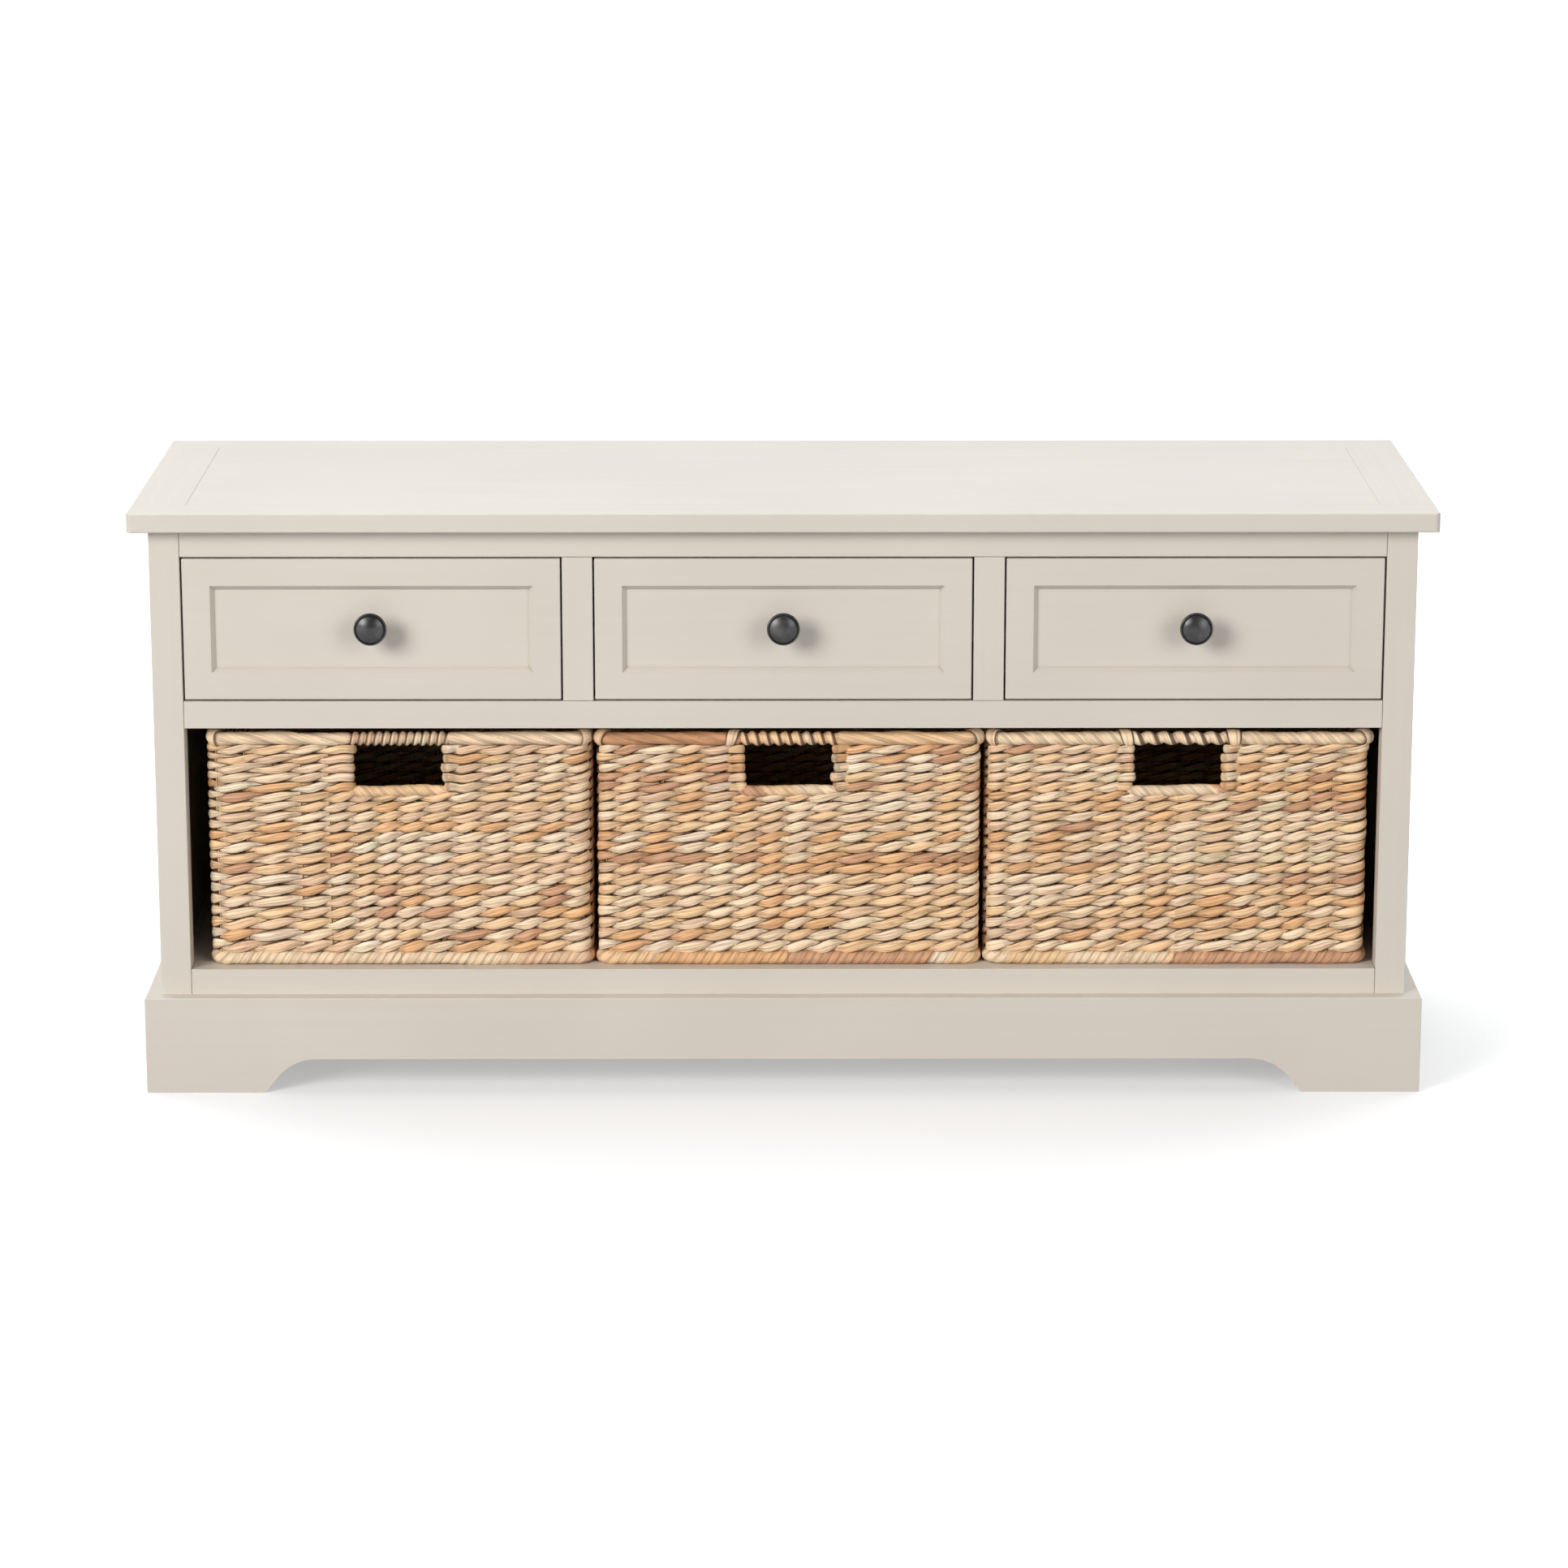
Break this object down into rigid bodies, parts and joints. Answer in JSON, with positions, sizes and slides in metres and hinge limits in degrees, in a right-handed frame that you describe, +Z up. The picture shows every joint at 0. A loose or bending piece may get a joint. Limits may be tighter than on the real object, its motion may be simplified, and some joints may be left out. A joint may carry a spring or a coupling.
{
  "type": "storage bench",
  "caption": "Low painted entryway bench with a framed seat board, recessed-panel drawers on wooden runners, an open bay holding woven leaf baskets, and a bracket-foot plinth.",
  "frame": {"origin": "on the floor, under the middle of the bench's overall box with the drawers and baskets closed", "axes": "+X along the width towards the right-hand end seen from the front, -Y out of the front, +Z up"},
  "size_m": [1.07, 0.347, 0.493],
  "materials": {
    "painted_wood": "satin",
    "bare_wood": "matte",
    "dark_board": "matte",
    "dark_metal": "satin",
    "steel": "satin",
    "woven_leaf": "matte"
  },
  "bodies": {
    "bench": {"top_front_board": "painted_wood", "top_back_board": "painted_wood", "top_left_end_board": "painted_wood", "top_right_end_board": "painted_wood", "top_panel": "painted_wood", "left_front_post": "painted_wood", "right_front_post": "painted_wood", "left_back_post": "painted_wood", "right_back_post": "painted_wood", "left_side_rails": "painted_wood", "right_side_rails": "painted_wood", "left_side_panel": "painted_wood", "right_side_panel": "painted_wood", "front_top_rail": "painted_wood", "front_middle_rail": "painted_wood", "front_bottom_rail": "painted_wood", "back_top_rail": "painted_wood", "back_bottom_rail": "painted_wood", "back_panel": "dark_board", "left_divider": "painted_wood", "right_divider": "painted_wood", "left_partition": "dark_board", "right_partition": "dark_board", "dust_board": "dark_board", "bay_floor": "painted_wood", "drawer_runners": "bare_wood", "corner_blocks": "bare_wood", "top_screws": "steel", "plinth_front": "painted_wood", "plinth_left": "painted_wood", "plinth_right": "painted_wood"},
    "left_drawer": {"left_drawer_front": "painted_wood", "left_drawer_left_side": "bare_wood", "left_drawer_right_side": "bare_wood", "left_drawer_back": "bare_wood", "left_drawer_bottom": "bare_wood", "left_drawer_knob": "dark_metal", "left_drawer_knob_screw": "steel"},
    "left_basket": {"left_basket_weave": "woven_leaf", "left_basket_rim": "woven_leaf"},
    "middle_drawer": {"middle_drawer_front": "painted_wood", "middle_drawer_left_side": "bare_wood", "middle_drawer_right_side": "bare_wood", "middle_drawer_back": "bare_wood", "middle_drawer_bottom": "bare_wood", "middle_drawer_knob": "dark_metal", "middle_drawer_knob_screw": "steel"},
    "middle_basket": {"middle_basket_weave": "woven_leaf", "middle_basket_rim": "woven_leaf"},
    "right_drawer": {"right_drawer_front": "painted_wood", "right_drawer_left_side": "bare_wood", "right_drawer_right_side": "bare_wood", "right_drawer_back": "bare_wood", "right_drawer_bottom": "bare_wood", "right_drawer_knob": "dark_metal", "right_drawer_knob_screw": "steel"},
    "right_basket": {"right_basket_weave": "woven_leaf", "right_basket_rim": "woven_leaf"}
  },
  "joints": [
    {"name": "left_drawer_slide", "type": "slide", "parent": "bench", "child": "left_drawer", "axis": [0, -1, 0], "range_m": [0, 0.21]},
    {"name": "middle_drawer_slide", "type": "slide", "parent": "bench", "child": "middle_drawer", "axis": [0, -1, 0], "range_m": [0, 0.21]},
    {"name": "right_drawer_slide", "type": "slide", "parent": "bench", "child": "right_drawer", "axis": [0, -1, 0], "range_m": [0, 0.21]},
    {"name": "left_basket_slide", "type": "slide", "parent": "bench", "child": "left_basket", "axis": [0, -1, 0], "range_m": [0, 0.33]},
    {"name": "middle_basket_slide", "type": "slide", "parent": "bench", "child": "middle_basket", "axis": [0, -1, 0], "range_m": [0, 0.33]},
    {"name": "right_basket_slide", "type": "slide", "parent": "bench", "child": "right_basket", "axis": [0, -1, 0], "range_m": [0, 0.33]}
  ]
}
